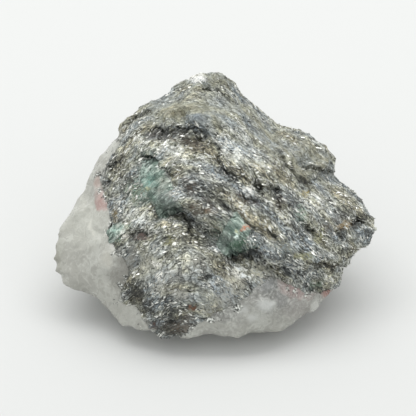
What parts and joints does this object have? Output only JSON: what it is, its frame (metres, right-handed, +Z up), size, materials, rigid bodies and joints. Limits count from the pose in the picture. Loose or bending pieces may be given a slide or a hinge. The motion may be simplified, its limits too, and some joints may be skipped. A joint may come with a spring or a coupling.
{
  "type": "rough emerald",
  "caption": "Rough emerald specimen: a broken lump of grey mica schist on white quartz, with green beryl crystals broken flush with its face, resting on a small flat spot.",
  "frame": {"origin": "middle of the small flat spot on the underside that the stone rests on", "axes": "+Z up, +X to the right of the broad face, -Y towards the side that the broad face looks to; the face leans back by 38 degrees from upright"},
  "size_m": [0.0656, 0.0481, 0.0382],
  "materials": {
    "mica_schist": "glittering mica flakes, broken surface",
    "milky_quartz": "milky, glassy broken surface",
    "emerald": "cloudy green crystal, broken surface"
  },
  "bodies": {
    "root": {"mica_schist": "mica_schist", "milky_quartz": "milky_quartz", "emerald_upper": "emerald", "emerald_middle": "emerald", "emerald_left": "emerald"}
  },
  "joints": []
}
